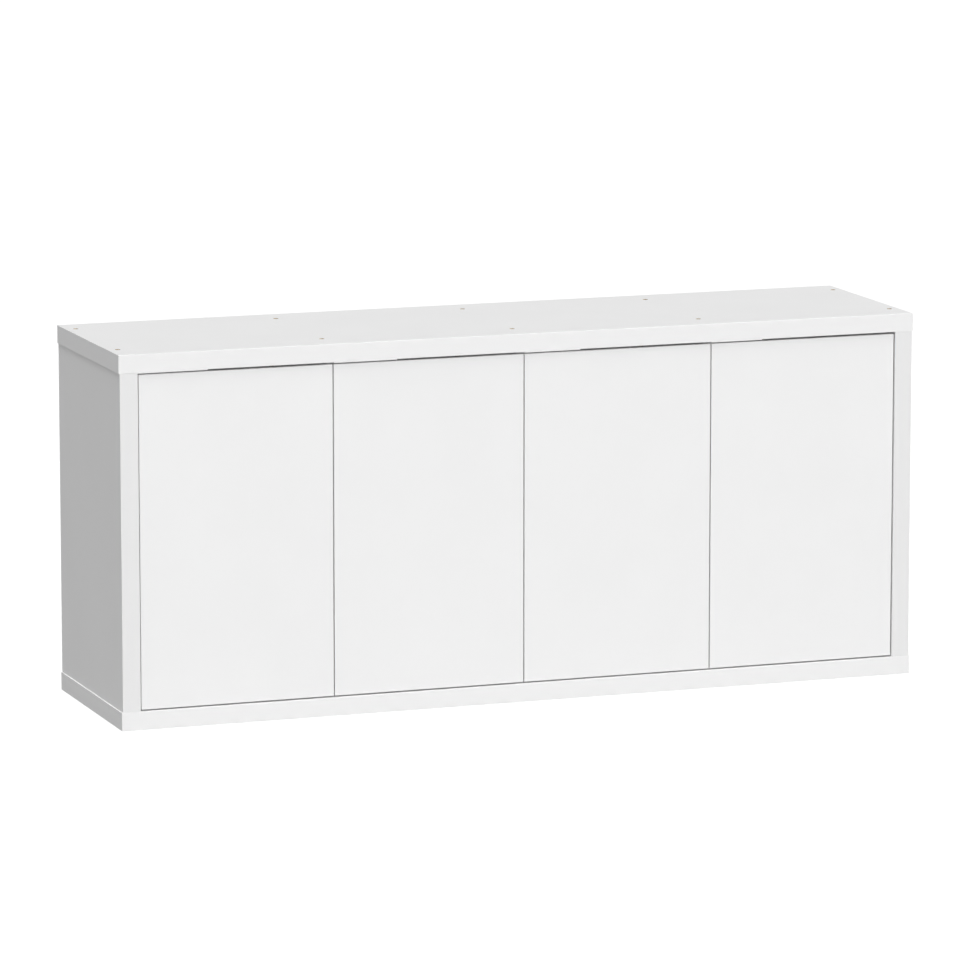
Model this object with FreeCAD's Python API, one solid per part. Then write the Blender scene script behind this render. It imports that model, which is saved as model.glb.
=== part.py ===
import FreeCAD, Part
import math
import os

# Low cabinet that carries a long aquarium: a box of coated board with four
# flush doors, each on two concealed hinges and held by a push latch.
# Frame: +X along the width to the right, +Y to the back, +Z up.
# The origin is the middle of the footprint, on the floor.

# ---- driving dimensions, millimetres --------------------------------------
width = 1600.0
depth = 410.0
height = 710.0
board = 35.0              # top, bottom and side boards
end_reveal = 2.0          # the sides stand in from the ends of the top and bottom
thick_banding = 2.0       # edge banding of the top and bottom boards
thin_banding = 1.0        # edge banding of everything else
arris = 0.7               # radius along the banding's edges

door_gap = 2.2            # beside and between the doors
door_gap_top = 4.2
door_gap_bottom = 3.0
door_setback = 3.0        # door face behind the front of the sides
door_thickness = 18.0
partition_thickness = 18.0
partition_behind_door = 2.5
notch = 60.0              # cable notch in each partition's rear top corner

back_thickness = 3.0
back_inset = 10.0
groove_depth = 6.0
groove_clearance = 0.1
back_edge_clearance = 0.5
cutout_width = 150.0
cutout_height = 70.0
cutout_below_top = 75.0   # from the inside of the top to the cut-out's middle

shelf_thickness = 18.0
shelf_height = 340.0      # underside of the shelf
shelf_clearance = 1.0
shelf_front_gap = 18.0    # behind the doors
shelf_back_gap = 15.0
pin_radius = 2.5
pin_length = 16.0
pin_depth = 8.0
pin_collar_radius = 3.6
pin_collar = 0.8          # thickness, less than the shelf's clearance
pin_pitch = 32.0
pin_rows = 2              # spare rows above and below the one in use
pin_from_edge = 50.0

joint_screw_radius = 3.5
joint_screw_head = 5.0
joint_screw_head_height = 2.0
joint_screw_length = 70.0
joint_screw_sink = 2.0
joint_screw_front = 70.0
joint_screw_rear = 60.0
dowel_radius = 4.0
dowel_in_board = 20.0
dowel_in_upright = 30.0
dowel_spots = (-60.0, 70.0)

hinge_inset = 100.0       # from the door's ends to the hinges
cup_radius = 17.5
cup_edge = 3.0            # board left between the cup and the door's edge
cup_depth = 13.0
cup_wall = 1.0
cup_flange = 0.8
fit_clearance = 0.1
hinge_pin_radius = 1.25
pin_clearance = 0.05
opening_angle = 100.0
# Places in a hinge are from the door's hinged edge, and behind the door's back.
swing_axis = (1.0, -22.0)   # the line that the door turns about
cup_pin = (6.5, -2.5)       # the link's pin in the cup
arm_pin_distance = 34.0   # from the swing axis to the arm's pin
inner_link_half = 3.2     # half the width of the plate between the cheeks
inner_strip_half = 0.8    # half its thickness
cheek_inner, cheek_outer = 3.7, 5.1
fork_inner, fork_outer = 5.4, 6.9
outer_link_reach = 11.0
inner_link_reach = 17.0
link_round = 2.0
plate_thickness = 3.5
arm_half = 1.0            # half the thickness of the arm's strip
arm_knee = 6.0            # where the arm's fork ends
arm_end = 74.0
arm_screw_at = 54.0

latch_below_door_top = 36.0
latch_width, latch_height, latch_length = 12.0, 20.0, 66.0
latch_screw_up = 6.8      # the latch's screws above and below the plunger
latch_behind_door = 5.0
plunger_radius = 4.0
plunger_play = 0.3
plunger_inside = 40.0
plunger_travel = 2.5
strike_thickness = 1.0
strike_size = 14.0

# ---- what follows from them ------------------------------------------------
FRONT, BACK = -depth / 2, depth / 2
LEFT, RIGHT = -width / 2, width / 2
INNER_LOW, INNER_HIGH = board, height - board
SIDE_FACE = width / 2 - end_reveal - board       # inner face of a side, from x = 0
DOOR_FRONT = FRONT + door_setback
DOOR_BACK = DOOR_FRONT + door_thickness
DOOR_LOW, DOOR_HIGH = INNER_LOW + door_gap_bottom, INNER_HIGH - door_gap_top
DOOR_WIDTH = (2 * SIDE_FACE - 5 * door_gap) / 4
DOOR_LEFTS = [-SIDE_FACE + door_gap + n * (DOOR_WIDTH + door_gap) for n in range(4)]
SEAMS = [left - door_gap / 2 for left in DOOR_LEFTS[1:]]
HALF_PARTITION = partition_thickness / 2
PARTITION_FRONT = DOOR_BACK + partition_behind_door
BACK_FRONT = BACK - back_inset - back_thickness   # front face of the back panels
PARTITION_BACK = BACK_FRONT - groove_clearance
UPRIGHTS = [-SIDE_FACE - board / 2] + SEAMS + [SIDE_FACE + board / 2]
SCREW_ROWS = (FRONT + joint_screw_front, BACK - joint_screw_rear)
SHELF_FRONT, SHELF_BACK = DOOR_BACK + shelf_front_gap, BACK_FRONT - shelf_back_gap
BAYS = [(-SIDE_FACE, SEAMS[0] - HALF_PARTITION), (SEAMS[0] + HALF_PARTITION, SEAMS[1] - HALF_PARTITION),
        (SEAMS[1] + HALF_PARTITION, SEAMS[2] - HALF_PARTITION), (SEAMS[2] + HALF_PARTITION, SIDE_FACE)]
HINGE_HEIGHTS = (DOOR_LOW + hinge_inset, DOOR_HIGH - hinge_inset)
LATCH_HEIGHT = DOOR_HIGH - latch_below_door_top
CUP_CENTRE = cup_edge + cup_radius
HINGED_LEFT = (True, False, True, False)

UP = FreeCAD.Vector(0, 0, 1)
ALONG_X = FreeCAD.Vector(1, 0, 0)
ALONG_Y = FreeCAD.Vector(0, 1, 0)


# ---- small shape helpers ---------------------------------------------------
def box(x0, x1, y0, y1, z0, z1):
    return Part.makeBox(x1 - x0, y1 - y0, z1 - z0, FreeCAD.Vector(x0, y0, z0))


def rod(x, y, z, radius, length, direction=UP):
    return Part.makeCylinder(radius, length, FreeCAD.Vector(x, y, z), direction)


def joined(shapes):
    return shapes[0].fuse(shapes[1:]).removeSplitter() if len(shapes) > 1 else shapes[0]


def strip(x0, x1, y0, y1, z0, z1, outward, thickness, butts_up_and_down=False):
    """A banding strip whose outward face has rounded edges, apart from ends that butt."""
    solid = box(x0, x1, y0, y1, z0, z1)
    low, high = (x0, y0, z0), (x1, y1, z1)
    axis = [abs(part) for part in outward].index(1)
    plane = high[axis] if outward[axis] > 0 else low[axis]
    outer = [edge for edge in solid.Edges
             if all(abs(tuple(v.Point)[axis] - plane) < 1e-6 for v in edge.Vertexes)]
    if butts_up_and_down:
        outer = [edge for edge in outer if abs(edge.tangentAt(edge.FirstParameter).z) > 0.9]
    return solid.makeFillet(min(arris, thickness * 0.9), outer)


def banding(x0, x1, y0, y1, z0, z1, thickness):
    """Four strips round a lying board: front and back run through, the ends butt."""
    return [strip(x0, x1, y0, y0 + thickness, z0, z1, (0, -1, 0), thickness),
            strip(x0, x1, y1 - thickness, y1, z0, z1, (0, 1, 0), thickness),
            strip(x0, x0 + thickness, y0 + thickness, y1 - thickness, z0, z1, (-1, 0, 0), thickness),
            strip(x1 - thickness, x1, y0 + thickness, y1 - thickness, z0, z1, (1, 0, 0), thickness)]


def screw(x, y, z, direction, head, shank, length, sunk=False):
    """A cross-head screw. The point is the top of its head; head and shank are (radius, height) and radius.

    A sunk head has a cone under it, and the others sit flat on what they hold.
    """
    head_radius, head_height = head
    cone = head_radius - shank if sunk else 0.0
    parts = [rod(0, 0, 0, head_radius, head_height),
             rod(0, 0, head_height, shank, length - head_height - shank),
             Part.makeCone(shank, shank * 0.3, shank, FreeCAD.Vector(0, 0, length - shank))]
    if sunk:
        parts.append(Part.makeCone(head_radius, shank, cone, FreeCAD.Vector(0, 0, head_height)))
    solid = joined(parts)
    arm, blade, deep = head_radius * 0.6, head_radius * 0.15, head_height * 0.8
    solid = solid.cut([box(-arm, arm, -blade, blade, -1, deep), box(-blade, blade, -arm, arm, -1, deep)])
    return placed(solid, x, y, z, direction)


def placed(solid, x, y, z, direction):
    """Turn a solid built along +Z to point along direction, then move it."""
    solid.Placement = FreeCAD.Placement(FreeCAD.Vector(x, y, z), FreeCAD.Rotation(UP, direction))
    return solid


def link_bar(points, radius, z0, z1):
    """A flat bar of half-width radius through the points, with round ends and bends."""
    parts = []
    for (xa, ya), (xb, yb) in zip(points, points[1:]):
        length = math.hypot(xb - xa, yb - ya)
        bar = box(0, length, -radius, radius, z0, z1)
        turn = math.degrees(math.atan2(yb - ya, xb - xa))
        bar.Placement = FreeCAD.Placement(FreeCAD.Vector(xa, ya, 0), FreeCAD.Rotation(UP, turn))
        parts.append(bar)
    parts += [rod(x, y, z0, radius, z1 - z0) for x, y in points]
    return joined(parts)


# ---- the carcass -----------------------------------------------------------
def back_groove(x0, x1, z0, z1):
    return box(x0, x1, BACK_FRONT - groove_clearance, BACK_FRONT + back_thickness + groove_clearance, z0, z1)


def joint_screw_hole(x, y, z, direction):
    """Clearance for one joining screw, with the wider seat of its head."""
    into = FreeCAD.Vector(*direction)
    start = FreeCAD.Vector(x, y, z)
    radius = joint_screw_radius + fit_clearance
    head = joint_screw_head + fit_clearance
    cone = joint_screw_head - joint_screw_radius
    sink = joint_screw_sink + joint_screw_head_height
    seat = Part.makeCone(head, radius, cone, start + into * sink, into)
    return joined([Part.makeCylinder(head, sink, start, into), seat,
                   Part.makeCylinder(radius, joint_screw_length + 1 + joint_screw_sink, start, into)])


def joint_holes(outer_z, direction):
    return [joint_screw_hole(x, y, outer_z, direction) for x in UPRIGHTS for y in SCREW_ROWS]


def dowel_rods(extra):
    """Every dowel, or with extra the holes that they sit in."""
    rods = []
    for x in UPRIGHTS:
        for y in dowel_spots:
            low = INNER_LOW - dowel_in_board - extra
            high = INNER_HIGH - dowel_in_upright - extra
            length = dowel_in_board + dowel_in_upright + 2 * extra
            rods += [rod(x, y, low, dowel_radius + extra, length),
                     rod(x, y, high, dowel_radius + extra, length)]
    return rods


def lying_board(z0, z1, groove):
    t = thick_banding
    core = box(LEFT + t, RIGHT - t, FRONT + t, BACK - t, z0, z1)
    reach = SIDE_FACE + groove_depth
    return core.cut([back_groove(-reach, reach, *groove)] + ALL_JOINT_HOLES)


def pin_hole_rows(x, y_rows, direction):
    """Shelf pin holes at the pitch, the one in use in the middle."""
    rows = [shelf_height - pin_radius + n * pin_pitch for n in range(-pin_rows, pin_rows + 1)]
    return [rod(x, y, z, pin_radius + fit_clearance, pin_depth + fit_clearance, direction)
            for y in y_rows for z in rows]


PIN_YS = (SHELF_FRONT + pin_from_edge, SHELF_BACK - pin_from_edge)
ALL_JOINT_HOLES = (joint_holes(height, (0, 0, -1)) + joint_holes(0, (0, 0, 1)) + dowel_rods(fit_clearance))


def side_panel(sign):
    inner, outer = SIDE_FACE, SIDE_FACE + board
    x0, x1 = (inner, outer) if sign > 0 else (-outer, -inner)
    t = thin_banding
    core = box(x0, x1, FRONT + t, BACK - t, INNER_LOW, INNER_HIGH)
    g0, g1 = sorted((sign * inner, sign * (inner + groove_depth)))
    cuts = [back_groove(g0, g1, INNER_LOW, INNER_HIGH)]
    cuts += pin_hole_rows(sign * inner, PIN_YS, FreeCAD.Vector(sign, 0, 0))
    cuts += hinge_plate_holes(sign)
    return core.cut(ALL_JOINT_HOLES + cuts)


def side_bands():
    bands = []
    for x0, x1 in ((-SIDE_FACE - board, -SIDE_FACE), (SIDE_FACE, SIDE_FACE + board)):
        t = thin_banding
        bands.append(strip(x0, x1, FRONT, FRONT + t, INNER_LOW, INNER_HIGH, (0, -1, 0), t, True))
        bands.append(strip(x0, x1, BACK - t, BACK, INNER_LOW, INNER_HIGH, (0, 1, 0), t, True))
    return bands


def partition(number):
    x = SEAMS[number]
    x0, x1 = x - HALF_PARTITION, x + HALF_PARTITION
    core = box(x0, x1, PARTITION_FRONT + thin_banding, PARTITION_BACK, INNER_LOW, INNER_HIGH)
    cuts = [box(x0 - 1, x1 + 1, PARTITION_BACK - notch, PARTITION_BACK + 1,
                INNER_HIGH - notch, INNER_HIGH + 1)]
    if number == 0:
        cuts += pin_hole_rows(x0, PIN_YS, ALONG_X)
    if number == 2:
        cuts += pin_hole_rows(x1, PIN_YS, -ALONG_X)
    if number == 1:
        cuts += hinge_plate_holes(0)
    else:
        cuts += latch_screw_holes(number)
    cuts += back_screw_set(fit_clearance)
    return core.cut(ALL_JOINT_HOLES + cuts)


def partition_bands():
    t = thin_banding
    return [strip(x - HALF_PARTITION, x + HALF_PARTITION, PARTITION_FRONT, PARTITION_FRONT + t,
                  INNER_LOW, INNER_HIGH, (0, -1, 0), t, True) for x in SEAMS]


# ---- back panels, shelves and what fixes them ------------------------------
def rounded_slot(x, z, wide, tall, y0, y1):
    """A horizontal slot with round ends, cut from y0 to y1."""
    r = tall / 2
    half = wide / 2 - r
    return joined([box(x - half, x + half, y0, y1, z - r, z + r),
                   rod(x - half, y0, z, r, y1 - y0, ALONG_Y), rod(x + half, y0, z, r, y1 - y0, ALONG_Y)])


BACK_MIDDLE_GAP = 1.5
BACK_SCREW_LOW, BACK_SCREW_HIGH = 86.0, 116.0     # from the bottom and from the top board
BACK_SCREW_HEIGHTS = (INNER_LOW + BACK_SCREW_LOW, height / 2, INNER_HIGH - BACK_SCREW_HIGH)
BACK_SCREW_OFFSET = 5.0
BACK_SCREW_HEAD, BACK_SCREW_RADIUS, BACK_SCREW_LENGTH = (3.5, 1.2), 1.75, 16.0


def back_screw_set(extra):
    """The back panel's screws, or with extra the holes that they sit in."""
    xs = (SEAMS[0], SEAMS[1] - BACK_SCREW_OFFSET, SEAMS[1] + BACK_SCREW_OFFSET, SEAMS[2])
    into = FreeCAD.Vector(0, -1, 0)
    face = BACK_FRONT + back_thickness
    if extra:
        return [rod(x, face + 1, z, BACK_SCREW_RADIUS + extra, BACK_SCREW_LENGTH + 1, into)
                for x in xs for z in BACK_SCREW_HEIGHTS]
    sizes = (BACK_SCREW_HEAD, BACK_SCREW_RADIUS, BACK_SCREW_LENGTH)
    return [screw(x, face + BACK_SCREW_HEAD[1], z, into, *sizes) for x in xs for z in BACK_SCREW_HEIGHTS]


def back_panel(side):
    outer = SIDE_FACE + groove_depth - back_edge_clearance
    x0, x1 = (-outer, -BACK_MIDDLE_GAP / 2) if side < 0 else (BACK_MIDDLE_GAP / 2, outer)
    low = INNER_LOW - groove_depth + back_edge_clearance
    high = INNER_HIGH + groove_depth - back_edge_clearance
    sheet = box(x0, x1, BACK_FRONT, BACK_FRONT + back_thickness, low, high)
    bays = BAYS[:2] if side < 0 else BAYS[2:]
    cuts = [rounded_slot((a + b) / 2, INNER_HIGH - cutout_below_top, cutout_width, cutout_height,
                         BACK_FRONT - 1, BACK_FRONT + back_thickness + 1) for a, b in bays]
    return sheet.cut(cuts + back_screw_set(fit_clearance))


def shelf_bay(side):
    low, high = BAYS[0] if side < 0 else BAYS[3]
    return low + shelf_clearance, high - shelf_clearance


def shelf(side):
    x0, x1 = shelf_bay(side)
    return box(x0, x1, SHELF_FRONT + thin_banding, SHELF_BACK, shelf_height, shelf_height + shelf_thickness)


def shelf_bands():
    bands = []
    for side in (-1, 1):
        x0, x1 = shelf_bay(side)
        bands.append(strip(x0, x1, SHELF_FRONT, SHELF_FRONT + thin_banding,
                           shelf_height, shelf_height + shelf_thickness, (0, -1, 0), thin_banding))
    return bands


def shelf_pins():
    """Pins with a collar against the board, their tops carrying the shelves."""
    pins = []
    for low, high in (BAYS[0], BAYS[3]):
        for y in PIN_YS:
            z = shelf_height - pin_radius
            for x, inward in ((low, 1), (high, -1)):
                shank = rod(x - inward * pin_depth, y, z, pin_radius, pin_length, ALONG_X * inward)
                collar = rod(x, y, z, pin_collar_radius, pin_collar, ALONG_X * inward)
                pins.append(joined([shank, collar]))
    return pins


# ---- doors -----------------------------------------------------------------
def from_hinge(solid, number, z):
    """Move a solid from the hinge's own axes (from the edge, behind the back) to its door."""
    left = DOOR_LEFTS[number]
    if not HINGED_LEFT[number]:
        solid = solid.mirror(FreeCAD.Vector(0, 0, 0), ALONG_X)
        left += DOOR_WIDTH
    solid.translate(FreeCAD.Vector(left, DOOR_BACK, z))
    return solid


def at_both_hinges(number, make):
    return [from_hinge(make(), number, z) for z in HINGE_HEIGHTS]


def latch_x(number):
    """Middle of the door's push latch, beside the partition at its free edge."""
    seam = SEAMS[0] if number < 2 else SEAMS[2]
    away = -1 if number in (0, 2) else 1
    return seam + away * (HALF_PARTITION + latch_width / 2)


def door(number):
    left = DOOR_LEFTS[number]
    t = thin_banding
    core = box(left + t, left + DOOR_WIDTH - t, DOOR_FRONT, DOOR_BACK, DOOR_LOW + t, DOOR_HIGH - t)
    cuts = at_both_hinges(number, cup_bore) + cup_screws(number, fit_clearance)
    return core.cut(cuts)


def door_bands(number):
    """Strips on the four edges of an upright board: the two long ones run through."""
    t = thin_banding
    x0, x1 = DOOR_LEFTS[number], DOOR_LEFTS[number] + DOOR_WIDTH
    y0, y1 = DOOR_FRONT, DOOR_BACK
    return [strip(x0, x0 + t, y0, y1, DOOR_LOW, DOOR_HIGH, (-1, 0, 0), t),
            strip(x1 - t, x1, y0, y1, DOOR_LOW, DOOR_HIGH, (1, 0, 0), t),
            strip(x0 + t, x1 - t, y0, y1, DOOR_LOW, DOOR_LOW + t, (0, 0, -1), t),
            strip(x0 + t, x1 - t, y0, y1, DOOR_HIGH - t, DOOR_HIGH, (0, 0, 1), t)]


# ---- concealed hinges, in the hinge's own axes -----------------------------
def arm_pin():
    """The arm's pin lies on the bisector of the cup pin's closed and open places."""
    ax, ay = swing_axis
    closed = math.atan2(cup_pin[1] - ay, cup_pin[0] - ax)
    middle = closed - math.radians(opening_angle / 2)
    return ax + arm_pin_distance * math.cos(middle), ay + arm_pin_distance * math.sin(middle)


ARM_PIN = arm_pin()


def towards(start, end, reach):
    length = math.hypot(end[0] - start[0], end[1] - start[1])
    return (start[0] + (end[0] - start[0]) * reach / length, start[1] + (end[1] - start[1]) * reach / length)


def cup_bore():
    return rod(CUP_CENTRE, -cup_depth, 0, cup_radius, 2 * cup_depth, ALONG_Y)


CUP_RIM = 1.0             # how far the rim laps onto the door round the bore
EAR_OFFSET, EAR_RADIUS = 9.5, 5.5
FLANGE_SCREW_X, FLANGE_SCREW_Z = CUP_CENTRE + EAR_OFFSET, 22.5
CUP_SCREW_HEAD, CUP_SCREW_RADIUS, CUP_SCREW_LENGTH = (3.6, 1.4), 2.0, 14.0


def hinge_cup():
    """Pressed cup with a thin rim, two ears for screws and the pin across it."""
    outer = cup_radius - fit_clearance
    inner = outer - cup_wall
    floor = fit_clearance - cup_depth
    shell = rod(CUP_CENTRE, floor, 0, outer, -floor, ALONG_Y)
    rim = rod(CUP_CENTRE, 0, 0, cup_radius + CUP_RIM, cup_flange, ALONG_Y)
    ears = [rod(FLANGE_SCREW_X, 0, s * FLANGE_SCREW_Z, EAR_RADIUS, cup_flange, ALONG_Y) for s in (-1, 1)]
    ears.append(box(FLANGE_SCREW_X - EAR_RADIUS, FLANGE_SCREW_X + EAR_RADIUS, 0, cup_flange,
                    -FLANGE_SCREW_Z, FLANGE_SCREW_Z))
    hollow = rod(CUP_CENTRE, floor + cup_wall, 0, inner, 2 * cup_depth, ALONG_Y)
    body = joined([shell, rim] + ears).cut(hollow)
    body = body.cut([rod(FLANGE_SCREW_X, -cup_flange, s * FLANGE_SCREW_Z, CUP_SCREW_RADIUS + fit_clearance,
                         3 * cup_flange, ALONG_Y) for s in (-1, 1)])
    half = math.sqrt(inner ** 2 - (CUP_CENTRE - cup_pin[0]) ** 2) + cup_wall / 2
    return joined([body, rod(cup_pin[0], cup_pin[1], -half, hinge_pin_radius, 2 * half)])


def cup_screws(number, extra=0.0):
    """Screws of both cups of a door, or with extra the holes that they sit in."""
    into = FreeCAD.Vector(0, -1, 0)
    top = cup_flange + CUP_SCREW_HEAD[1]

    def pair():
        if extra:
            return Part.makeCompound([rod(FLANGE_SCREW_X, cup_flange, s * FLANGE_SCREW_Z,
                                          CUP_SCREW_RADIUS + extra, CUP_SCREW_LENGTH, into) for s in (-1, 1)])
        return Part.makeCompound([screw(FLANGE_SCREW_X, top, s * FLANGE_SCREW_Z, into, CUP_SCREW_HEAD,
                                        CUP_SCREW_RADIUS, CUP_SCREW_LENGTH) for s in (-1, 1)])
    return [solid for group in at_both_hinges(number, pair) for solid in group.Solids]


def pin_hole(x, y):
    """A hole for a hinge pin, right through a link."""
    return rod(x, y, -fork_outer, hinge_pin_radius + pin_clearance, 2 * fork_outer)


def outer_link():
    """The two cheeks on the arm's pin, reaching towards the cup's pin."""
    tip = towards(ARM_PIN, cup_pin, outer_link_reach - link_round)
    cheeks = []
    for z0, z1 in ((cheek_inner, cheek_outer), (-cheek_outer, -cheek_inner)):
        bar = link_bar([ARM_PIN, tip], link_round, z0, z1)
        cheeks.append(bar.cut(pin_hole(*ARM_PIN)))
    return Part.makeCompound(cheeks)


def inner_link():
    """The plate on the cup's pin, bowed so that it passes round the door's corner."""
    tip = towards(cup_pin, ARM_PIN, inner_link_reach)
    x, y = cup_pin
    path = [(x, y), (x + 2.0, y - 4.7), (x + 7.5, y - 6.0), tip]
    body = joined([link_bar(path, inner_strip_half, -inner_link_half, inner_link_half),
                   rod(x, y, -inner_link_half, link_round, 2 * inner_link_half)])
    return body.cut(pin_hole(x, y))


def hinge_side(number):
    """Where the face that carries the hinge lies, from the door's edge."""
    return -door_gap if number in (0, 3) else HALF_PARTITION - door_gap / 2


def hinge_arm(number):
    """Fork with two stub pins, then a bent strip back to the base plate."""
    along = hinge_side(number) + plate_thickness + arm_half
    px, py = ARM_PIN
    knee = (px + 0.5, arm_knee)
    cheeks = []
    for s in (-1, 1):
        z0, z1 = sorted((s * fork_inner, s * fork_outer))
        cheeks.append(link_bar([ARM_PIN, knee], link_round, z0, z1))
        z0, z1 = sorted((s * (cheek_inner + pin_clearance), s * fork_outer))
        cheeks.append(rod(px, py, z0, hinge_pin_radius, z1 - z0))
    bend = (along, knee[1] + (knee[0] - along) * 0.8)
    bent_strip = link_bar([knee, bend, (along, arm_end)], arm_half, -fork_outer, fork_outer)
    hole = rod(along - 2 * arm_half, arm_screw_at, 0, ARM_SCREW_RADIUS + fit_clearance, 4 * arm_half, ALONG_X)
    return joined(cheeks + [bent_strip]).cut(hole)


PLATE_FRONT, PLATE_REAR = arm_screw_at - 20, arm_screw_at + 18
PLATE_SCREW_Z = 16.0
PLATE_EAR = 2.0           # thickness of the base plate's ears
EAR_HALF, EAR_BEYOND = 6.0, 5.0   # half width, and how far an ear reaches past its screw
SCREW_END_GAP = 0.9       # screws from both faces of a partition stop short of its middle
PLATE_SCREW_HEAD, PLATE_SCREW_RADIUS = (4.2, 1.4), 2.5
PLATE_SCREW_LENGTH = PLATE_EAR + PLATE_SCREW_HEAD[1] + HALF_PARTITION - SCREW_END_GAP
ARM_SCREW_HEAD, ARM_SCREW_RADIUS = (3.6, 2.2), 2.0


def plate_screw_places():
    return [(arm_screw_at, s * PLATE_SCREW_Z) for s in (-1, 1)]


def hinge_plate(number):
    """Base plate: a middle bar under the arm and two ears with the screws."""
    face = hinge_side(number)
    middle = box(face, face + plate_thickness, PLATE_FRONT, PLATE_REAR, -fork_outer, fork_outer)
    reach = PLATE_SCREW_Z + EAR_BEYOND
    ears = box(face, face + PLATE_EAR, arm_screw_at - EAR_HALF, arm_screw_at + EAR_HALF, -reach, reach)
    through = 2 * plate_thickness
    holes = [rod(face - 1, y, z, PLATE_SCREW_RADIUS + fit_clearance, through, ALONG_X)
             for y, z in plate_screw_places()]
    holes.append(rod(face - 1, arm_screw_at, 0, ARM_SCREW_RADIUS + fit_clearance, through, ALONG_X))
    return joined([middle, ears]).cut(holes)


def plate_screw_pair(number):
    face = hinge_side(number)
    top = face + PLATE_EAR + PLATE_SCREW_HEAD[1]
    sizes = (PLATE_SCREW_HEAD, PLATE_SCREW_RADIUS, PLATE_SCREW_LENGTH)
    return Part.makeCompound([screw(top, y, z, -ALONG_X, *sizes) for y, z in plate_screw_places()])


def arm_screw(number):
    top = hinge_side(number) + plate_thickness + 2 * arm_half + ARM_SCREW_HEAD[1]
    length = top - hinge_side(number) - fit_clearance
    return screw(top, arm_screw_at, 0, -ALONG_X, ARM_SCREW_HEAD, ARM_SCREW_RADIUS, length)


def hinge_plate_holes(side):
    """Screw holes under the base plates: side is -1 or +1 for a side board, 0 for the middle."""
    numbers = {-1: (0,), 1: (3,), 0: (1, 2)}[side]
    holes = []
    for number in numbers:
        face = hinge_side(number)
        for z in HINGE_HEIGHTS:
            for y, dz in plate_screw_places():
                hole = rod(face + 1, y, dz, PLATE_SCREW_RADIUS + fit_clearance, PLATE_SCREW_LENGTH, -ALONG_X)
                holes.append(from_hinge(hole, number, z))
    return holes


# ---- push latches ----------------------------------------------------------
LATCH_FRONT = DOOR_BACK + latch_behind_door
LATCH_SCREWS_Y = (LATCH_FRONT + 14, LATCH_FRONT + 52)
LATCH_SCREW_HEAD, LATCH_SCREW_RADIUS = (2.5, 1.0), 1.5
LATCH_SCREW_IN_BOARD = HALF_PARTITION - SCREW_END_GAP
LATCH_CORNER = 2.0
LATCH_BORE_PLAY = 0.2


def latch_outward(number):
    return -1 if number in (0, 2) else 1


def latch_housing(number):
    x = latch_x(number)
    half, tall = latch_width / 2, latch_height / 2
    solid = box(x - half, x + half, LATCH_FRONT, LATCH_FRONT + latch_length,
                LATCH_HEIGHT - tall, LATCH_HEIGHT + tall)
    long_edges = [e for e in solid.Edges if abs(e.tangentAt(e.FirstParameter).y) > 0.9]
    free = [e for e in long_edges if (e.CenterOfMass.x - x) * latch_outward(number) > 0]
    solid = solid.makeFillet(LATCH_CORNER, free)
    bore = rod(x, LATCH_FRONT - 1, LATCH_HEIGHT, plunger_radius + LATCH_BORE_PLAY,
               plunger_inside + 2 * plunger_travel + 1, ALONG_Y)
    return solid.cut([bore] + latch_screw_holes_for(number))


def latch_screw_holes_for(number):
    x = latch_x(number) + latch_outward(number) * (latch_width / 2 + 1)
    into = ALONG_X * -latch_outward(number)
    return [rod(x, y, LATCH_HEIGHT + latch_screw_up * s, LATCH_SCREW_RADIUS + fit_clearance,
                latch_width + LATCH_SCREW_IN_BOARD + 1, into) for y, s in zip(LATCH_SCREWS_Y, (1, -1))]


def latch_screw_holes(partition_number):
    numbers = (0, 1) if partition_number == 0 else (2, 3)
    return [hole for number in numbers for hole in latch_screw_holes_for(number)]


def latch_screws(number):
    head_radius, head_height = LATCH_SCREW_HEAD
    x = latch_x(number) + latch_outward(number) * (latch_width / 2 + head_height)
    into = ALONG_X * -latch_outward(number)
    length = head_height + latch_width + LATCH_SCREW_IN_BOARD - fit_clearance
    return [screw(x, y, LATCH_HEIGHT + latch_screw_up * s, into, LATCH_SCREW_HEAD, LATCH_SCREW_RADIUS, length)
            for y, s in zip(LATCH_SCREWS_Y, (1, -1))]


def latch_plunger(number):
    tip = DOOR_BACK + strike_thickness + plunger_play
    length = LATCH_FRONT + plunger_inside - tip
    solid = rod(latch_x(number), tip, LATCH_HEIGHT, plunger_radius, length, ALONG_Y)
    return solid.makeChamfer(0.8, [e for e in solid.Edges if abs(e.CenterOfMass.y - tip) < 1e-6])


STRIKE_CORNER = 2.0


def strike_plate(number):
    x, half = latch_x(number), strike_size / 2
    plate = box(x - half, x + half, DOOR_BACK, DOOR_BACK + strike_thickness,
                LATCH_HEIGHT - half, LATCH_HEIGHT + half)
    corners = [e for e in plate.Edges if abs(e.tangentAt(e.FirstParameter).y) > 0.9]
    return plate.makeFillet(STRIKE_CORNER, corners)


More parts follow.
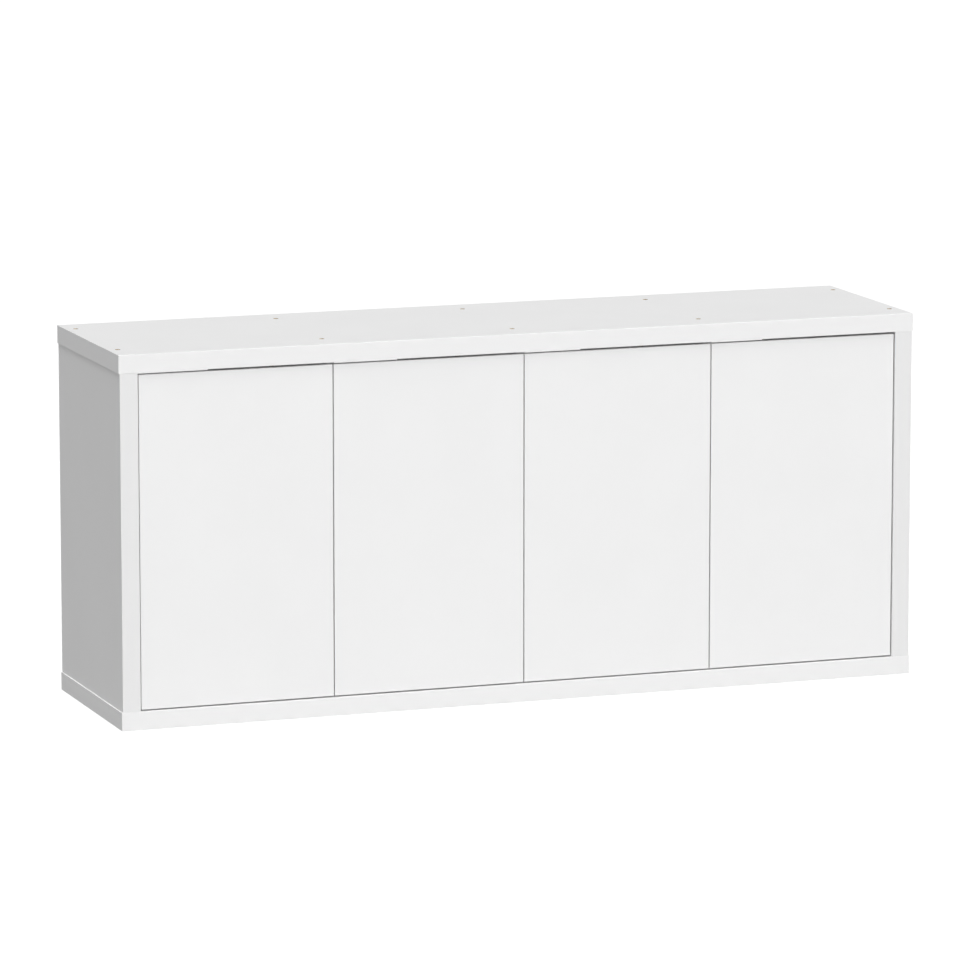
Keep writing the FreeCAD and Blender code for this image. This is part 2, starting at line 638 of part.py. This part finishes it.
# ---- every node ------------------------------------------------------------
def all_nodes():
    nodes = {
        "top_panel": [lying_board(INNER_HIGH, height, (INNER_HIGH, INNER_HIGH + groove_depth))],
        "top_edging": banding(LEFT, RIGHT, FRONT, BACK, INNER_HIGH, height, thick_banding),
        "bottom_panel": [lying_board(0, INNER_LOW, (INNER_LOW - groove_depth, INNER_LOW))],
        "bottom_edging": banding(LEFT, RIGHT, FRONT, BACK, 0, INNER_LOW, thick_banding),
        "left_side_panel": [side_panel(-1)],
        "right_side_panel": [side_panel(1)],
        "side_edging": side_bands(),
        "partition_edging": partition_bands(),
        "back_panel_left": [back_panel(-1)],
        "back_panel_right": [back_panel(1)],
        "back_panel_screws": back_screw_set(0),
        "shelf_left": [shelf(-1)],
        "shelf_right": [shelf(1)],
        "shelf_edging": shelf_bands(),
        "shelf_pins": shelf_pins(),
        "dowels": dowel_rods(0),
    }
    for number in range(3):
        nodes["partition_%d" % (number + 1)] = [partition(number)]
    for name, z, direction in (("top_screws", height - joint_screw_sink, -UP),
                               ("bottom_screws", joint_screw_sink, UP)):
        nodes[name] = [screw(x, y, z, direction, (joint_screw_head, joint_screw_head_height),
                             joint_screw_radius, joint_screw_length, sunk=True)
                       for x in UPRIGHTS for y in SCREW_ROWS]
    doors = range(4)
    nodes["hinge_arms"] = [s for n in doors for s in at_both_hinges(n, lambda: hinge_arm(n))]
    nodes["hinge_plates"] = [s for n in doors for s in at_both_hinges(n, lambda: hinge_plate(n))]
    nodes["hinge_arm_screws"] = [s for n in doors for s in at_both_hinges(n, lambda: arm_screw(n))]
    pairs = [s for n in doors for s in at_both_hinges(n, lambda: plate_screw_pair(n))]
    nodes["hinge_plate_screws"] = [solid for pair in pairs for solid in pair.Solids]
    nodes["latch_housings"] = [latch_housing(n) for n in doors]
    nodes["latch_screws"] = [s for n in doors for s in latch_screws(n)]
    for number in doors:
        name = "door_%d" % (number + 1)
        nodes[name] = [door(number)]
        nodes[name + "_edging"] = door_bands(number)
        nodes[name + "_hinge_cups"] = at_both_hinges(number, hinge_cup)
        nodes[name + "_cup_screws"] = cup_screws(number)
        pairs = at_both_hinges(number, outer_link)
        nodes[name + "_outer_links"] = [solid for pair in pairs for solid in pair.Solids]
        nodes[name + "_inner_links"] = at_both_hinges(number, inner_link)
        nodes[name + "_latch_plunger"] = [latch_plunger(number)]
        nodes[name + "_strike_plate"] = [strike_plate(number)]
    return nodes


os.makedirs("parts", exist_ok=True)
for node, solids in all_nodes().items():
    shape = solids[0] if len(solids) == 1 else Part.makeCompound(solids)
    shape.exportStep("parts/" + node + ".step")
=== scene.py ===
"""White aquarium stand cabinet: the looks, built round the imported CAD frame."""
import math

import bmesh
import bpy
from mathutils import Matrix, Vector


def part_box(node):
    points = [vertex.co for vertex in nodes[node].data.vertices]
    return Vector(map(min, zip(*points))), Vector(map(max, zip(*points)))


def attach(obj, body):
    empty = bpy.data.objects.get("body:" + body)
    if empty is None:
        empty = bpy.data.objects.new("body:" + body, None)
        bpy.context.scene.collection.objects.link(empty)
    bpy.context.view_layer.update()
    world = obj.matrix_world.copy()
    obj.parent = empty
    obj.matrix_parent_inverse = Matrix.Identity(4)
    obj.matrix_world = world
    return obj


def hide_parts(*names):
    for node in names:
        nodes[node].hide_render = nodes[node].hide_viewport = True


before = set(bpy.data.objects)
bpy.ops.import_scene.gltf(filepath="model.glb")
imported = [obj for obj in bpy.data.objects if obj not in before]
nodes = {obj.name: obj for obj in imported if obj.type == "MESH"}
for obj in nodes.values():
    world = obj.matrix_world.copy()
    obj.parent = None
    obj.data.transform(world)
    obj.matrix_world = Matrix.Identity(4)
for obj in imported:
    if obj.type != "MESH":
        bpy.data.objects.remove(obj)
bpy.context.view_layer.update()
MM = 0.001
ROOT = "cabinet"
DOORS = ("door_1", "door_2", "door_3", "door_4")


# ---- Melamine-faced boards ---------------------------------------------------
# Chipboard pressed between sheets of white printed paper soaked in resin. The press
# plate leaves a fine pearl in the faces, and sawn edges and drilled holes show the chips.
FACE_WHITE = "#f3f3f3"
CHIP_LIGHT, CHIP_DARK = "#d3bc95", "#94784f"
PEARL = 1.4 * MM          # spacing of the pearl, coarser than life so that it shows
CHIP = 2.4 * MM           # length of a chip


def linear(code):
    """A hex colour as the linear RGBA that the shaders use."""
    parts = [int(code[n:n + 2], 16) / 255 for n in (1, 3, 5)]
    return [c / 12.92 if c < 0.04045 else ((c + 0.055) / 1.055) ** 2.4 for c in parts] + [1.0]


def add(tree, kind, settings=(), **inputs):
    """Add a node: its own settings, then inputs by name, or by number as i0, i1 and so on."""
    made = tree.nodes.new(kind)
    for name, value in dict(settings).items():
        setattr(made, name, value)
    for name, value in inputs.items():
        key = int(name[1:]) if name[1:].isdigit() else name.replace("_", " ")
        if isinstance(value, bpy.types.NodeSocket):
            tree.links.new(value, made.inputs[key])
        else:
            made.inputs[key].default_value = value
    return made


def new_finish(name, colour, roughness, metallic=0.0):
    """A material with one shader, and the object coordinates that its patterns use."""
    made = bpy.data.materials.new(name)
    made.use_nodes = True
    tree = made.node_tree
    tree.nodes.clear()
    shader = add(tree, "ShaderNodeBsdfPrincipled", Base_Color=linear(colour), Roughness=roughness,
                 Metallic=metallic)
    add(tree, "ShaderNodeOutputMaterial", Surface=shader.outputs[0])
    return made, tree, shader, add(tree, "ShaderNodeTexCoord").outputs["Object"]


def blend_colours(tree, share, first, second):
    """A mix of two colours, each a colour socket or a hex code."""
    mix = add(tree, "ShaderNodeMix", {"data_type": "RGBA"}, i0=share)
    for key, value in ((6, first), (7, second)):
        if isinstance(value, str):
            mix.inputs[key].default_value = linear(value)
        else:
            tree.links.new(value, mix.inputs[key])
    return mix.outputs[2]


def relief(tree, shader, height, depth, strength):
    bump = add(tree, "ShaderNodeBump", Strength=strength, Distance=depth, Height=height)
    tree.links.new(bump.outputs[0], shader.inputs["Normal"])


def looks_along(tree, axis):
    """One where the surface looks along an axis of the piece, either way, and nought elsewhere."""
    normal = add(tree, "ShaderNodeTexCoord").outputs["Normal"]
    part = add(tree, "ShaderNodeSeparateXYZ", Vector=normal).outputs[axis]
    size = add(tree, "ShaderNodeMath", {"operation": "ABSOLUTE"}, i0=part).outputs[0]
    return add(tree, "ShaderNodeMath", {"operation": "GREATER_THAN"}, i0=size, i1=0.5).outputs[0]


def melamine(name, face_axis):
    """White melamine. What doesn't look along face_axis is sawn or drilled, and bare."""
    made, tree, shader, place = new_finish(name, FACE_WHITE, 0.42)
    pearl = add(tree, "ShaderNodeTexNoise", Vector=place, Scale=1 / PEARL, Detail=2.0).outputs["Fac"]
    cloud = add(tree, "ShaderNodeTexNoise", Vector=place, Scale=7.0, Detail=3.0).outputs["Fac"]
    white = blend_colours(tree, cloud, "#f1f1f1", "#f5f5f5")
    chips = add(tree, "ShaderNodeTexVoronoi", Vector=place, Scale=1 / CHIP)
    tone = add(tree, "ShaderNodeSeparateColor", Color=chips.outputs["Color"]).outputs[0]
    sawn = blend_colours(tree, tone, CHIP_LIGHT, CHIP_DARK)
    colour = blend_colours(tree, looks_along(tree, face_axis), sawn, white)
    gloss = add(tree, "ShaderNodeMapRange", Value=pearl, i3=0.36, i4=0.50).outputs[0]
    tree.links.new(colour, shader.inputs["Base Color"])
    tree.links.new(gloss, shader.inputs["Roughness"])
    relief(tree, shader, pearl, 0.02 * MM, 0.06)
    return made


def coat(names, material):
    """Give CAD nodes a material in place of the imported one."""
    for name in names:
        mesh = nodes[name].data
        mesh.materials.clear()
        mesh.materials.append(material)


coat(("top_panel", "bottom_panel", "shelf_left", "shelf_right"), melamine("melamine_lying_board", "Z"))
coat(("left_side_panel", "right_side_panel", "partition_1", "partition_2", "partition_3"),
     melamine("melamine_upright_board", "X"))
coat(DOORS, melamine("melamine_door_board", "Y"))


# ---- Edge banding ------------------------------------------------------------
# ABS strip, glued on hot and trimmed, with its arrises rounded. It is a touch glossier
# than the boards; the narrow strips on the uprights are a slightly greyer white.
def banding(name, colour):
    made, tree, shader, place = new_finish(name, colour, 0.36)
    drawn = add(tree, "ShaderNodeTexNoise", Vector=place, Scale=900.0, Detail=1.0).outputs["Fac"]
    gloss = add(tree, "ShaderNodeMapRange", Value=drawn, i3=0.30, i4=0.42).outputs[0]
    tree.links.new(gloss, shader.inputs["Roughness"])
    relief(tree, shader, drawn, 0.01 * MM, 0.05)
    return made


coat(("top_edging", "bottom_edging", "shelf_edging") + tuple(d + "_edging" for d in DOORS),
     banding("abs_banding_white", "#f3f3f3"))
coat(("side_edging", "partition_edging"), banding("abs_banding_upright_white", "#ececec"))


# ---- Back panels -------------------------------------------------------------
# Thin hardboard, lacquered white on both faces. Its cut edges, round the openings for
# hoses, show the brown pressed fibre.
def hardboard():
    made, tree, shader, place = new_finish("lacquered_hardboard", "#e6e5e2", 0.5)
    fibre = add(tree, "ShaderNodeTexNoise", Vector=place, Scale=700.0, Detail=4.0).outputs["Fac"]
    cloud = add(tree, "ShaderNodeTexNoise", Vector=place, Scale=5.0, Detail=4.0).outputs["Fac"]
    white = blend_colours(tree, cloud, "#e2e1de", "#ebeae8")
    brown = blend_colours(tree, fibre, "#6f4e30", "#94704a")
    colour = blend_colours(tree, looks_along(tree, "Y"), brown, white)
    tree.links.new(colour, shader.inputs["Base Color"])
    relief(tree, shader, fibre, 0.05 * MM, 0.12)
    return made


coat(("back_panel_left", "back_panel_right"), hardboard())


# ---- Dowels ------------------------------------------------------------------
# Turned beech, plain apart from its grain: short flecks along the rod.
def beech():
    made, tree, shader, place = new_finish("beech_dowel", "#c79a68", 0.6)
    along = add(tree, "ShaderNodeMapping", Vector=place, Scale=(900.0, 900.0, 120.0)).outputs[0]
    fleck = add(tree, "ShaderNodeTexNoise", Vector=along, Scale=1.0, Detail=3.0).outputs["Fac"]
    tree.links.new(blend_colours(tree, fleck, "#b98a5a", "#d9b283"), shader.inputs["Base Color"])
    relief(tree, shader, fleck, 0.05 * MM, 0.2)
    return made


coat(("dowels",), beech())


# ---- Screws ------------------------------------------------------------------
# Cross-head steel screws, zinc plated and passivated: bright, with a faint cloud. The
# joining screws of the carcass are the same form, larger, and sit below the surface.
CROWN = 0.74              # the top of a head, as a share of its radius
CROSS = (1.15, 0.28)      # length and width of the two slots, as shares of the same
CORE = 0.80               # inside the thread, as a share of the shank's radius
CREST = 0.18              # half the thread's thickness, as a share of the same
TIP = 1.5                 # length of the point, as a share of the same


def zinc():
    made, tree, shader, place = new_finish("zinc_plated_steel", "#b9bcbf", 0.3, 1.0)
    cloud = add(tree, "ShaderNodeTexNoise", Vector=place, Scale=400.0, Detail=3.0).outputs["Fac"]
    tree.links.new(blend_colours(tree, cloud, "#a9adb1", "#c9cbcc"), shader.inputs["Base Color"])
    gloss = add(tree, "ShaderNodeMapRange", Value=cloud, i3=0.22, i4=0.42).outputs[0]
    tree.links.new(gloss, shader.inputs["Roughness"])
    return made


ZINC = zinc()


def screw_tree():
    """Puts a cross-head screw on every point, turned to the point's own direction."""
    tree = bpy.data.node_groups.new("cross_head_screws", "GeometryNodeTree")
    face = tree.interface
    face.new_socket("Points", in_out="INPUT", socket_type="NodeSocketGeometry")
    for name in ("Head Radius", "Head Height", "Shank Radius", "Length", "Pitch"):
        face.new_socket(name, in_out="INPUT", socket_type="NodeSocketFloat")
    face.new_socket("Finish", in_out="INPUT", socket_type="NodeSocketMaterial")
    face.new_socket("Screws", in_out="OUTPUT", socket_type="NodeSocketGeometry")
    given = add(tree, "NodeGroupInput").outputs

    def maths(operation, first, second):
        return add(tree, "ShaderNodeMath", {"operation": operation}, i0=first, i1=second).outputs[0]

    def times(first, second):
        return maths("MULTIPLY", first, second)

    def at_height(shape, height):
        lift = add(tree, "ShaderNodeCombineXYZ", Z=height).outputs[0]
        return add(tree, "GeometryNodeTransform", Geometry=shape, Translation=lift).outputs[0]

    radius, height, shank = given["Head Radius"], given["Head Height"], given["Shank Radius"]
    half = times(height, 0.5)
    crown = add(tree, "GeometryNodeMeshCone", Vertices=20, Radius_Top=radius, Depth=half,
                Radius_Bottom=times(radius, CROWN)).outputs[0]
    skirt = add(tree, "GeometryNodeMeshCylinder", Vertices=20, Radius=radius, Depth=half).outputs[0]
    cutters = []
    for along_x, along_y in (CROSS, CROSS[::-1]):
        size = add(tree, "ShaderNodeCombineXYZ", X=times(radius, along_x), Y=times(radius, along_y),
                   Z=times(height, 1.3)).outputs[0]
        cutters.append(add(tree, "GeometryNodeMeshCube", Size=size).outputs[0])
    cut = add(tree, "GeometryNodeMeshBoolean", {"operation": "DIFFERENCE"}, i0=crown)
    for cutter in cutters:
        tree.links.new(cutter, cut.inputs[1])
    below_head = maths("SUBTRACT", given["Length"], height)
    straight = maths("SUBTRACT", below_head, times(shank, TIP))
    core_radius = times(shank, CORE)
    core = add(tree, "GeometryNodeMeshCylinder", Vertices=14, Radius=core_radius, Depth=straight).outputs[0]
    core_middle = maths("ADD", height, times(straight, 0.5))
    point = add(tree, "GeometryNodeMeshCone", Vertices=14, Radius_Top=times(shank, 0.15),
                Radius_Bottom=core_radius, Depth=times(shank, TIP)).outputs[0]
    crest_at = times(shank, 1 - CREST)
    spiral = add(tree, "GeometryNodeCurveSpiral", Resolution=14, Start_Radius=crest_at, End_Radius=crest_at,
                 Height=straight, Rotations=maths("DIVIDE", straight, given["Pitch"])).outputs[0]
    crest = add(tree, "GeometryNodeCurvePrimitiveCircle", Resolution=3, Radius=times(shank, CREST)).outputs[0]
    thread = add(tree, "GeometryNodeCurveToMesh", Curve=spiral, Profile_Curve=crest,
                 Fill_Caps=True).outputs[0]
    whole = add(tree, "GeometryNodeJoinGeometry")
    for shape in (cut.outputs[0], at_height(skirt, half), at_height(core, core_middle),
                  at_height(point, maths("ADD", height, straight)), at_height(thread, height)):
        tree.links.new(shape, whole.inputs[0])
    into = add(tree, "GeometryNodeInputNamedAttribute", {"data_type": "FLOAT_VECTOR"}, Name="into")
    aim = add(tree, "FunctionNodeAlignRotationToVector", {"axis": "Z"}, Vector=into.outputs[0]).outputs[0]
    spin = add(tree, "FunctionNodeRandomValue", {"data_type": "FLOAT"}, i2=0.0, i3=math.pi / 2,
               Seed=7).outputs[1]
    turn = add(tree, "FunctionNodeAxisAngleToRotation", Axis=(0, 0, 1), Angle=spin).outputs[0]
    way = add(tree, "FunctionNodeRotateRotation", {"rotation_space": "LOCAL"}, Rotation=aim,
              Rotate_By=turn).outputs[0]
    placed = add(tree, "GeometryNodeInstanceOnPoints", Points=given["Points"], Instance=whole.outputs[0],
                 Rotation=way).outputs[0]
    real = add(tree, "GeometryNodeRealizeInstances", Geometry=placed).outputs[0]
    finish = add(tree, "GeometryNodeSetMaterial", Geometry=real, Material=given["Finish"]).outputs[0]
    add(tree, "NodeGroupOutput", Screws=finish)
    return tree


SCREW_TREE = screw_tree()


def link_object(name, mesh):
    made = bpy.data.objects.new(name, mesh)
    bpy.context.scene.collection.objects.link(made)
    return made


def islands(name):
    """Lowest and highest corner of each separate solid in a CAD node."""
    mesh = bmesh.new()
    mesh.from_mesh(nodes[name].data)
    bmesh.ops.remove_doubles(mesh, verts=mesh.verts, dist=1e-6)
    left, found = set(mesh.verts), []
    while left:
        group, queue = [], [left.pop()]
        while queue:
            vert = queue.pop()
            group.append(vert.co.copy())
            for edge in vert.link_edges:
                other = edge.other_vert(vert)
                if other in left:
                    left.remove(other)
                    queue.append(other)
        found.append((Vector([min(c[k] for c in group) for k in range(3)]),
                      Vector([max(c[k] for c in group) for k in range(3)])))
    mesh.free()
    return sorted(found, key=lambda pair: tuple(round(v, 5) for v in pair[0]))


def screws(name, node, body, into, head, shank, pitch):
    """Stand detailed screws in for a node of plain ones. into gives the direction of each.
    head is a radius and a height, shank a radius, all in millimetres."""
    places, ways, length = [], [], 0.0
    for low, high in islands(node):
        middle = (low + high) / 2
        way = Vector(into(middle))
        length = abs((high - low).dot(way))
        places.append(middle - way * length / 2)
        ways.append(way)
    mesh = bpy.data.meshes.new(name)
    mesh.from_pydata([tuple(p) for p in places], [], [])
    aim = mesh.attributes.new("into", "FLOAT_VECTOR", "POINT")
    for number, way in enumerate(ways):
        aim.data[number].vector = way
    made = link_object(name, mesh)
    modifier = made.modifiers.new("screws", "NODES")
    modifier.node_group = SCREW_TREE
    values = {"Head Radius": head[0] * MM, "Head Height": head[1] * MM, "Shank Radius": shank * MM,
              "Length": length, "Pitch": pitch * MM, "Finish": ZINC}
    for item in SCREW_TREE.interface.items_tree:
        if item.name in values:
            modifier[item.identifier] = values[item.name]
    plain = bpy.data.meshes.new_from_object(made.evaluated_get(bpy.context.evaluated_depsgraph_get()))
    made.modifiers.clear()
    made.data = plain
    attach(made, body)
    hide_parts(node)


def into_wall(place):
    """The outer hinges are screwed outwards to the sides, the middle ones to the middle partition."""
    outer = abs(place.x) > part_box("partition_3")[0].x
    sign = 1.0 if place.x > 0 else -1.0
    return (sign if outer else -sign, 0.0, 0.0)


def into_partition(place):
    """The latches stand on both faces of the outer partitions, screwed to each."""
    low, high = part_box("partition_3" if place.x > 0 else "partition_1")
    return (1.0 if place.x < (low.x + high.x) / 2 else -1.0, 0.0, 0.0)


def down(place):
    return 0.0, 0.0, -1.0


def up(place):
    return 0.0, 0.0, 1.0


def forward(place):
    return 0.0, -1.0, 0.0


JOINING = {"head": (5.0, 3.4), "shank": 3.5, "pitch": 3.0}
screws("top_joint_screws", "top_screws", ROOT, down, **JOINING)
screws("bottom_joint_screws", "bottom_screws", ROOT, up, **JOINING)
screws("back_screws", "back_panel_screws", ROOT, forward, head=(3.5, 1.2), shank=1.75, pitch=1.4)
screws("base_plate_screws", "hinge_plate_screws", ROOT, into_wall, head=(4.2, 1.4), shank=2.5, pitch=1.8)
screws("arm_screws", "hinge_arm_screws", ROOT, into_wall, head=(3.6, 2.2), shank=2.0, pitch=0.8)
screws("housing_screws", "latch_screws", ROOT, into_partition, head=(2.5, 1.0), shank=1.5, pitch=1.2)
for door in DOORS:
    screws(door + "_flange_screws", door + "_cup_screws", door + "_leaf", forward,
           head=(3.6, 1.4), shank=2.0, pitch=1.6)


# ---- Hinges ------------------------------------------------------------------
# Cups, arms, links and base plates of cold-pressed steel strip, nickel plated. Pressing
# rounds every edge, and the plating gives a warm grey shine with fine drawing lines.
def nickel():
    made, tree, shader, place = new_finish("nickel_plated_steel", "#b7b3aa", 0.28, 1.0)
    along = add(tree, "ShaderNodeMapping", Vector=place, Scale=(300.0, 300.0, 4000.0)).outputs[0]
    lines = add(tree, "ShaderNodeTexNoise", Vector=along, Scale=1.0, Detail=2.0).outputs["Fac"]
    gloss = add(tree, "ShaderNodeMapRange", Value=lines, i3=0.20, i4=0.36).outputs[0]
    tree.links.new(gloss, shader.inputs["Roughness"])
    tree.links.new(blend_colours(tree, lines, "#aba79e", "#c3bfb6"), shader.inputs["Base Color"])
    relief(tree, shader, lines, 0.01 * MM, 0.1)
    return made


NICKEL = nickel()


def eased(node, body, material, width):
    """A copy of a CAD node with its sharp edges rounded by width, as pressing or moulding leaves them."""
    mesh = bmesh.new()
    mesh.from_mesh(nodes[node].data)
    bmesh.ops.remove_doubles(mesh, verts=mesh.verts, dist=1e-6)
    bmesh.ops.dissolve_limit(mesh, angle_limit=math.radians(2), verts=mesh.verts, edges=mesh.edges)
    data = bpy.data.meshes.new(node + "_eased")
    mesh.to_mesh(data)
    mesh.free()
    data.materials.append(material)
    made = link_object(node + "_eased", data)
    for polygon in data.polygons:
        polygon.use_smooth = True
    bevel = made.modifiers.new("eased", "BEVEL")
    bevel.width, bevel.segments = width * MM, 3
    bevel.limit_method, bevel.angle_limit = "ANGLE", math.radians(40)
    bevel.harden_normals = True
    bevel.use_clamp_overlap = True
    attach(made, body)
    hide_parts(node)


eased("hinge_arms", ROOT, NICKEL, 0.4)
eased("hinge_plates", ROOT, NICKEL, 0.4)
for door in DOORS:
    eased(door + "_hinge_cups", door + "_leaf", NICKEL, 0.25)
    eased(door + "_outer_links", door + "_arm_links", NICKEL, 0.3)
    eased(door + "_inner_links", door + "_cup_links", NICKEL, 0.3)
    eased(door + "_strike_plate", door + "_leaf", NICKEL, 0.2)


# ---- Push latches ------------------------------------------------------------
# Housings moulded in pale grey ABS with a fine spark-eroded texture; the plungers are
# darker acetal, smooth from sliding.
def moulded(name, colour, roughness, grain):
    made, tree, shader, place = new_finish(name, colour, roughness)
    spark = add(tree, "ShaderNodeTexNoise", Vector=place, Scale=1 / (grain * MM), Detail=2.0).outputs["Fac"]
    gloss = add(tree, "ShaderNodeMapRange", Value=spark, i3=roughness - 0.06, i4=roughness + 0.06).outputs[0]
    tree.links.new(gloss, shader.inputs["Roughness"])
    relief(tree, shader, spark, 0.03 * MM, 0.15)
    return made


eased("latch_housings", ROOT, moulded("abs_latch_housing", "#d2d2d0", 0.5, 0.5), 0.6)
acetal = moulded("acetal_plunger", "#6f7072", 0.3, 0.8)
for door in DOORS:
    eased(door + "_latch_plunger", door + "_plunger", acetal, 0.4)


# ---- Shelf pins --------------------------------------------------------------
# Turned steel pins with a collar that stops them at the board, nickel plated.
eased("shelf_pins", ROOT, NICKEL, 0.5)


# ---- Studio ------------------------------------------------------------------
# A white room: the floor glows so that it reads as white paper, one soft lamp hangs
# almost overhead, and one fills the front.
def studio():
    scene = bpy.context.scene
    scene.view_settings.view_transform = "Standard"
    lens = bpy.data.cameras.new("camera")
    lens.lens, lens.sensor_width, lens.clip_end = 230.7, 36.0, 200.0
    camera = bpy.data.objects.new("camera", lens)
    scene.collection.objects.link(camera)
    camera.location = (-4.0186, -11.1134, 2.4375)
    yaw, pitch = math.radians(19.853), math.radians(9.846)
    look = Vector((math.sin(yaw) * math.cos(pitch), math.cos(yaw) * math.cos(pitch), -math.sin(pitch)))
    camera.rotation_euler = look.to_track_quat("-Z", "Y").to_euler()
    scene.camera = camera

    world = bpy.data.worlds.new("studio")
    world.use_nodes = True
    world.node_tree.nodes["Background"].inputs["Color"].default_value = (1, 1, 1, 1)
    world.node_tree.nodes["Background"].inputs["Strength"].default_value = 0.10
    scene.world = world

    half = 60.0
    corners = [(-half, -half, 0), (half, -half, 0), (half, half, 0), (-half, half, 0)]
    paper = bpy.data.meshes.new("floor")
    paper.from_pydata(corners, [], [(0, 1, 2, 3)])
    floor = link_object("floor", paper)
    made = bpy.data.materials.new("white_paper")
    made.use_nodes = True
    tree = made.node_tree
    tree.nodes.clear()
    paint = add(tree, "ShaderNodeBsdfDiffuse", Color=(0.16, 0.16, 0.16, 1))
    seen = add(tree, "ShaderNodeEmission", Strength=0.93)
    lit = add(tree, "ShaderNodeEmission", Strength=0.25)
    direct = add(tree, "ShaderNodeLightPath").outputs["Is Camera Ray"]
    glow = add(tree, "ShaderNodeMixShader", i0=direct, i1=lit.outputs[0], i2=seen.outputs[0])
    both = add(tree, "ShaderNodeAddShader", i0=paint.outputs[0], i1=glow.outputs[0])
    add(tree, "ShaderNodeOutputMaterial", Surface=both.outputs[0])
    paper.materials.append(made)

    def sun(name, direction, spread, light):
        """A far soft lamp; light is the share of full white that it gives a face square to it."""
        data = bpy.data.lights.new(name, "SUN")
        data.angle, data.energy = math.radians(spread), light * math.pi
        lamp = bpy.data.objects.new(name, data)
        lamp.rotation_euler = (-Vector(direction)).to_track_quat("-Z", "Y").to_euler()
        scene.collection.objects.link(lamp)

    sun("overhead", (-0.15, -0.15, 1.0), 20.0, 0.70)
    sun("left_fill", (-0.80, -0.25, 0.75), 45.0, 0.18)
    sun("front_fill", (0.28, -0.95, 0.14), 60.0, 0.87)


studio()
